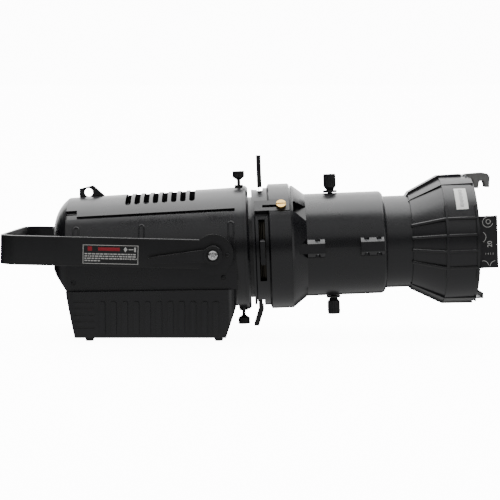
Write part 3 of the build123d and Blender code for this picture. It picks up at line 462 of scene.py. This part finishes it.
# Rounded beads: crests of the lens tube's ribs and the arched screw bosses, by Geometry Nodes
def beadTree(name, material):   # a round bead along each path: Bead Radius, Sides
    tree = bpy.data.node_groups.new(name, "GeometryNodeTree")
    ids = {}
    tree.interface.new_socket("Geometry", in_out="INPUT", socket_type="NodeSocketGeometry")
    for key, kind, value in (("Bead Radius", "NodeSocketFloat", 0.001), ("Sides", "NodeSocketInt", 12)):
        socket = tree.interface.new_socket(key, in_out="INPUT", socket_type=kind)
        socket.default_value = value
        ids[key] = socket.identifier
    tree.interface.new_socket("Geometry", in_out="OUTPUT", socket_type="NodeSocketGeometry")
    entry = addNode(tree, "NodeGroupInput")
    path = addNode(tree, "GeometryNodeMeshToCurve", links={0: entry.outputs[0]})
    round_ = addNode(tree, "GeometryNodeCurvePrimitiveCircle",
                     links={"Resolution": entry.outputs["Sides"], "Radius": entry.outputs["Bead Radius"]})
    bead = addNode(tree, "GeometryNodeCurveToMesh", values={"Fill Caps": True},
                   links={"Curve": path.outputs[0], "Profile Curve": round_.outputs[0]})
    solid = addNode(tree, "GeometryNodeRealizeInstances", links={0: bead.outputs[0]})
    painted = addNode(tree, "GeometryNodeSetMaterial", {}, {"Material": material}, {0: solid.outputs[0]})
    addNode(tree, "NodeGroupOutput", links={0: painted.outputs[0]})
    return tree, ids


def beads(name, paths, radius, sides, body, slot):   # paths: lists of points in millimetres of the beam
    points, edges = [], []
    for path in paths:
        edges += [(len(points) + k, len(points) + k + 1) for k in range(len(path) - 1)]
        points += [tuple(inBeam(*point)) for point in path]
    mesh = bpy.data.meshes.new(name + "_paths")
    mesh.from_pydata(points, edges, [])
    carrier = bpy.data.objects.new(name + "_carrier", mesh)
    scene.collection.objects.link(carrier)
    tree, ids = beadTree(name + "_tree", finishes[slot])
    modifier = carrier.modifiers.new("beads", "NODES")
    modifier.node_group = tree
    modifier[ids["Bead Radius"]] = radius * mm
    modifier[ids["Sides"]] = sides
    made = bpy.data.meshes.new_from_object(carrier.evaluated_get(bpy.context.evaluated_depsgraph_get()))
    carrier.modifiers.clear()
    bpy.data.objects.remove(carrier)
    bm = bmesh.new()
    bm.from_mesh(made)
    shadeByAngle(bm, 50)
    bm.to_mesh(made)
    bm.free()
    piece = bpy.data.objects.new(name, made)
    scene.collection.objects.link(piece)
    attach(piece, body)
    return piece


tubeRibs = {"angles": (-22, -7, 7, 22, 158, 173, 187, 202), "bead": 2.3, "proud": 0.4,
            "line": ((277.5, 67.6), (321.6, 90.6), (362.0, 91.0))}
paths = []
for angle in tubeRibs["angles"]:
    a = math.radians(angle)
    crest = [(x, r + tubeRibs["proud"]) for x, r in tubeRibs["line"]]
    paths.append([(x, -r * math.cos(a), r * math.sin(a)) for x, r in crest])
beads("tubeRibCrests", paths, tubeRibs["bead"], 14, "lens_tube", "black_composite")

bosses = {"places": ((-99.0, 24.0, 42.0), (-190.0, 26.0, 42.0), (25.0, 12.0, 42.0)),   # along, foot, top
          "half": 3.6, "bead": 1.1, "arc": 10}
paths = []
for u, low, high in bosses["places"]:
    top = high - bosses["half"]
    outline = [(u - bosses["half"], low), (u - bosses["half"], (low + top) / 2)]
    turns = [math.pi * k / bosses["arc"] for k in range(bosses["arc"] + 1)]
    outline += [(u - bosses["half"] * math.cos(a), top + bosses["half"] * math.sin(a)) for a in turns]
    outline += [(u + bosses["half"], (low + top) / 2), (u + bosses["half"], low)]
    for side in (-1, 1):
        paths.append([(x, side * math.sqrt(skinAt(x) ** 2 - v ** 2), v) for x, v in outline])
beads("bossArches", paths, bosses["bead"], 10, "lamp_house", "black_casting")
print("beads placed")

# Light source seen through the lenses
emitters = {"rings": ((17.0, 6), (33.0, 12)), "face": -53.1, "half": 1.7}


def emitterDome():
    bm = bmesh.new()
    bmesh.ops.create_uvsphere(bm, u_segments=12, v_segments=8, radius=emitters["half"] * mm)
    bmesh.ops.bisect_plane(bm, geom=bm.verts[:] + bm.edges[:] + bm.faces[:], plane_co=(0, 0, 0),
                           plane_no=(0, 0, -1), clear_outer=True)
    bmesh.ops.holes_fill(bm, edges=bm.edges)
    return bm


spots = [(0, 0)]
for r, n in emitters["rings"]:
    turns = [2 * math.pi * k / n for k in range(n)]
    spots += [(r * math.cos(a), r * math.sin(a)) for a in turns]
places = [(inBeam(emitters["face"], y, z), beamWay(1, 0, 0)) for y, z in spots]
piece = placeCopies("phosphorDomes", emitterDome(), places, phosphor)
joinBody(piece, "lamp_house", "circuit_board")
print("emitters placed")

# Printed marks, all generic
inkThick = 0.05


def flatBar(bm, x0, x1, z0, z1):   # a thin bar on the plane y = 0, towards -y
    prism(bm, [(x0, z0), (x1, z0), (x1, z1), (x0, z1)])


def prism(bm, outline):
    back = [bm.verts.new((x * mm, 0, z * mm)) for x, z in outline]
    face = [bm.verts.new((x * mm, -inkThick * mm, z * mm)) for x, z in outline]
    bm.faces.new(back)
    bm.faces.new(face[::-1])
    for k in range(len(outline)):
        n = (k + 1) % len(outline)
        bm.faces.new((back[k], face[k], face[n], back[n]))


def arcBand(bm, x, z, radius, start, end, width=0.7, steps=20):
    inner, outer = radius - width / 2, radius + width / 2
    for k in range(steps):
        a, b = (math.radians(start + (end - start) * t / steps) for t in (k, k + 1))
        corners = ((inner, a), (outer, a), (outer, b), (inner, b))
        prism(bm, [(x + r * math.cos(turn), z + r * math.sin(turn)) for r, turn in corners])


def printed(name, bm, place, body, slot, ink):
    piece = meshObject(name, bm)
    piece.data.transform(place)
    return joinBody(piece, body, slot, ink)


label = {"centre": (-139.0, -3.0), "half": (37.6, 12.9), "face": -115.52, "frame": 0.8, "rows": 4, "pitch": 3.1,
         "seed": 5, "mark": ((17.5, 7.2), (20.2, 3.6), (22.9, 7.2), (20.2, 10.8)),
         "blocks": ((24.4, 31.0, 6.6, 7.9), (32.0, 34.4, 4.2, 10.2)),
         "redBlocks": ((-17.0, 12.6, 5.0, 9.6), (-31.0, -25.0, 4.6, 10.4))}   # each one: left, right, foot, top
onLabel = yokeFrame @ Matrix.Translation((label["centre"][0] * mm, label["face"] * mm, label["centre"][1] * mm))
halfX, halfZ = label["half"]
bm = bmesh.new()
line = label["frame"]
for z in (-halfZ, halfZ - line):
    flatBar(bm, -halfX, halfX, z, z + line)
for x in (-halfX, halfX - line):
    flatBar(bm, x, x + line, -halfZ + line, halfZ - line)
rng = random.Random(label["seed"])
for row in range(label["rows"]):   # rows of dashes where small print would be
    z = 0.6 - row * label["pitch"]
    x = -halfX + 2.4
    last = halfX - 3 if row < label["rows"] - 1 else -14
    while x < last:
        step = rng.uniform(1.6, 5.2)
        flatBar(bm, x, min(x + step, last + 1), z - line, z + line)
        x += step + 0.9
prism(bm, label["mark"])
for block in label["blocks"]:
    flatBar(bm, *block)
printed("labelPrint", bm, onLabel, "yoke", "label_vinyl", whiteInk)
bm = bmesh.new()
for block in label["redBlocks"]:
    flatBar(bm, *block)
printed("labelRed", bm, onLabel, "yoke", "label_vinyl", redInk)

channel = {"face": -84.02,
           "ticks": {"count": 4, "first": 374.5, "pitch": 3.4, "width": 0.6, "span": (-17.5, -15.0)},
           "arcs": ((378.6, 27.4, 7.0, 95, 345), (379.4, 28.0, 3.0, 0, 360), (368.2, 7.0, 7.6, -62, 62),
                    (371.2, -33.0, 7.2, 8, 118), (388.6, -34.6, 8.4, 96, 172))}
onChannel = beamFrame @ Matrix.Translation((0, channel["face"] * mm, 0))
bm = bmesh.new()
for x, z, radius, start, end in channel["arcs"]:
    arcBand(bm, x, z, radius, start, end)
ticks = channel["ticks"]
for k in range(ticks["count"]):
    x = ticks["first"] + k * ticks["pitch"]
    flatBar(bm, x, x + ticks["width"], *ticks["span"])
printed("channelPrint", bm, onChannel, "lens_tube", "black_steel", whiteInk)


def numeral(name, words, height, place, body, slot, ink):   # a number, as on a dial
    curve = bpy.data.curves.new(name, "FONT")
    curve.body = words
    curve.size = height * mm
    curve.extrude = 0.03 * mm
    curve.align_x = curve.align_y = "CENTER"
    source = bpy.data.objects.new(name + "_text", curve)
    scene.collection.objects.link(source)
    mesh = bpy.data.meshes.new_from_object(source.evaluated_get(bpy.context.evaluated_depsgraph_get()))
    bpy.data.objects.remove(source)
    mesh.transform(place)
    mesh.materials.clear()
    piece = bpy.data.objects.new(name, mesh)
    scene.collection.objects.link(piece)
    return joinBody(piece, body, slot, ink)


upright = Matrix.Rotation(math.radians(90), 4, "X") @ Matrix.Rotation(math.radians(90), 4, "Z")
angleMark = {"words": "20", "height": 9.0, "at": (381 * mm, -0.03 * mm, -3 * mm)}
numeral("angleMark", angleMark["words"], angleMark["height"],
        onChannel @ Matrix.Translation(angleMark["at"]) @ upright, "lens_tube", "black_steel", whiteInk)

sticker = {"along": (337.5, 354.0), "angles": (30.5, 54.5), "radius": 91.08, "thick": 0.12, "steps": 12,
           "bars": 16, "firstBar": 2.2, "barPitch": 1.3, "barWidth": 0.62, "barAlong": (343.2, 347.6), "ink": 0.02}


def ringWall(bm, along, radii, angles, steps):   # a curved wall about the beam, angles in degrees above level
    rows = []
    for k in range(steps + 1):
        a = math.radians(angles[0] + (angles[1] - angles[0]) * k / steps)
        levels = [(-r * math.cos(a) * mm, r * math.sin(a) * mm) for r in radii]
        rows.append([[bm.verts.new((x * mm, y, z)) for x in along] for y, z in levels])
    for low, high in zip(rows, rows[1:]):
        for level in (0, 1):
            bm.faces.new((low[level][0], low[level][1], high[level][1], high[level][0]))
        for end in (0, 1):
            bm.faces.new((low[0][end], low[1][end], high[1][end], high[0][end]))
    for row in (rows[0], rows[-1]):
        bm.faces.new((row[0][0], row[0][1], row[1][1], row[1][0]))


bm = bmesh.new()
faceRadius = sticker["radius"] + sticker["thick"]
ringWall(bm, sticker["along"], (sticker["radius"], faceRadius), sticker["angles"], sticker["steps"])
printed("stickerPaperPatch", bm, beamFrame, "lens_tube", "black_composite", paperWhite)
bm = bmesh.new()
for k in range(sticker["bars"]):   # faint bars instead of print
    a = sticker["angles"][0] + sticker["firstBar"] + k * sticker["barPitch"]
    start, end = sticker["barAlong"]
    ringWall(bm, (start, end + (k % 3) * 0.5), (faceRadius, faceRadius + sticker["ink"]),
             (a, a + sticker["barWidth"]), 1)
printed("stickerBars", bm, beamFrame, "lens_tube", "black_composite", greyInk)

panelMarks = {"rear": -228.02, "across": (-24, -8, 8, 24), "above": 7.6}
onPanel = beamFrame @ Matrix.Translation((panelMarks["rear"] * mm, 0, 0))
onPanel = onPanel @ Matrix.Rotation(math.radians(-90), 4, "Z")
bm = bmesh.new()
for k, y in enumerate(panelMarks["across"]):
    x, z = -y, panelMarks["above"]
    shape = [[(-1.6, -1.2), (1.6, -1.2), (0, 1.5)], [(-1.6, 1.2), (0, -1.5), (1.6, 1.2)],
             [(1.2, -1.6), (1.2, 1.6), (-1.5, 0)], [(-1.3, -1.3), (1.3, -1.3), (1.3, 1.3), (-1.3, 1.3)]][k]
    prism(bm, [(x + dx, z + dz) for dx, dz in shape])
printed("keyMarks", bm, onPanel, "lamp_house", "black_moulding", whiteInk)
print("marks printed")

# Guides of the gate: strips that close the planes of the blades, and lips on the slot for the top grip
gate = {"planes": {"upright": (61.6, 66.0), "level": (63.8, 68.2)}, "facing": ((63.8, -1), (68.2, 1)),
        "strip": 1.38, "inner": 38.6, "outer": 51.5, "reach": 44.0,
        "lipInner": 79.4, "lipOuter": 82.2, "lipAlong": (58.4, 70.9), "lipFrom": 17.6, "lipTo": 42.4, "steps": 10}


def slab(bm, low, high):   # a box between two corners, in millimetres of the beam
    made = bmesh.ops.create_cube(bm, size=1)["verts"]
    for vert in made:
        vert.co = [((low[i] + high[i]) / 2 + vert.co[i] * (high[i] - low[i])) * mm for i in range(3)]


bm = bmesh.new()
for way, planes in gate["planes"].items():
    for plane in planes:
        for side in (-1, 1):
            across = sorted((side * gate["inner"], side * gate["outer"]))
            along = (-gate["reach"], gate["reach"])
            y, z = (across, along) if way == "upright" else (along, across)
            slab(bm, (plane - gate["strip"] / 2, y[0], z[0]), (plane + gate["strip"] / 2, y[1], z[1]))
for plane, side in gate["facing"]:   # across from the side blades
    y = sorted((side * gate["inner"], side * gate["outer"]))
    reach = gate["inner"] - 0.1
    slab(bm, (plane - gate["strip"] / 2, y[0], -reach), (plane + gate["strip"] / 2, y[1], reach))
printed("bladeGuides", bm, beamFrame, bodyOf["gate_plates"], "blade_steel", finishes["blade_steel"])
bm = bmesh.new()
near, far = (math.degrees(math.acos(gate[key] / gate["lipOuter"])) for key in ("lipTo", "lipFrom"))
for start, end in ((near, far), (180 - far, 180 - near)):
    ringWall(bm, gate["lipAlong"], (gate["lipInner"], gate["lipOuter"]), (start, end), gate["steps"])
printed("gripSlotLips", bm, beamFrame, bodyOf["gate_barrel"], "black_casting", finishes["black_casting"])
print("gate guides placed")

# Stage, light and camera
# The paper shows only to the camera, and the black finishes reflect the panels below, so that they stay black.
studio = {"half": 4.0, "front": -3.2, "back": 2.6, "rise": 3.4, "curve": 1.0, "steps": 16, "glow": 12.0}


def paperSweep():
    line = [(studio["front"], 0.0), (studio["back"] - studio["curve"], 0.0)]
    for k in range(1, studio["steps"] + 1):
        a = math.pi / 2 * k / studio["steps"]
        line.append((studio["back"] + studio["curve"] * (math.sin(a) - 1), studio["curve"] * (1 - math.cos(a))))
    line.append((studio["back"], studio["rise"]))
    bm = bmesh.new()
    left, right = [[bm.verts.new((x, y, z)) for y, z in line] for x in (-studio["half"], studio["half"])]
    for i in range(len(line) - 1):
        bm.faces.new((left[i], right[i], right[i + 1], left[i + 1])).smooth = True
    mesh = bpy.data.meshes.new("paperSweep")
    bm.to_mesh(mesh)
    bm.free()
    sweep = bpy.data.objects.new("paperSweep", mesh)
    scene.collection.objects.link(sweep)
    paper, tree, shader, place = freshMaterial("seamlessPaper")
    shader.inputs["Base Color"].default_value = linear("#EDEDED")
    shader.inputs["Roughness"].default_value = 0.9
    shader.inputs["Emission Color"].default_value = (1, 1, 1, 1)
    shader.inputs["Emission Strength"].default_value = studio["glow"]
    mesh.materials.append(paper)
    sweep.visible_glossy = sweep.visible_diffuse = sweep.visible_shadow = False


paperSweep()
lights = {   # where, towards, size in metres, brightness in watts for each square metre of panel
    "overheadSoftbox": {"at": (0.0, 0.40, 1.7), "to": (0.0, 0.40, 0.0), "size": (2.8, 1.75), "glow": 17.0},
    "frontCeiling": {"at": (0.0, -1.35, 1.25), "to": (0.0, 0.0, 0.15), "size": (3.0, 1.3), "glow": 2.6},
    "floorBounce": {"at": (0.0, -1.05, -0.06), "to": (0.0, -1.05, 1.0), "size": (3.8, 2.4), "glow": 2.0},
    "sidePanel": {"at": (1.9, -1.3, 0.5), "to": (0.0, 0.0, 0.1), "size": (1.3, 1.6), "glow": 3.2},
    "cameraSide": {"at": (-0.3, -2.6, 0.5), "to": (0.0, 0.0, 0.1), "size": (3.0, 1.6), "glow": 0.45},
    "backPanel": {"at": (0.0, 2.2, 1.3), "to": (0.0, 0.0, 0.6), "size": (4.2, 2.2), "glow": 12.0},
}
for name, light in lights.items():
    area = bpy.data.lights.new(name, "AREA")
    area.shape = "RECTANGLE"
    area.size, area.size_y = light["size"]
    area.energy = light["glow"] * area.size * area.size_y
    lamp = bpy.data.objects.new(name, area)
    lamp.location = light["at"]
    lamp.rotation_euler = (Vector(light["to"]) - Vector(light["at"])).to_track_quat("-Z", "Y").to_euler()
    lamp.visible_camera = False
    scene.collection.objects.link(lamp)

world = bpy.data.worlds.new("whiteStudio")
scene.world = world
world.use_nodes = True
world.node_tree.nodes["Background"].inputs["Color"].default_value = (1, 1, 1, 1)
world.node_tree.nodes["Background"].inputs["Strength"].default_value = studio["glow"]
world.cycles_visibility.glossy = world.cycles_visibility.diffuse = False

view = {"lens": 93.6, "fromPivot": 0.05002, "back": -1.872, "height": 0.260, "down": 4.22}
camera = bpy.data.cameras.new("camera")
camera.lens = view["lens"]
camera.sensor_width = 36
eye = bpy.data.objects.new("camera", camera)
eye.location = (pivot.x + view["fromPivot"], view["back"], view["height"])
eye.rotation_euler = (math.radians(90 - view["down"]), 0, 0)
scene.collection.objects.link(eye)
scene.camera = eye
print("stage set")
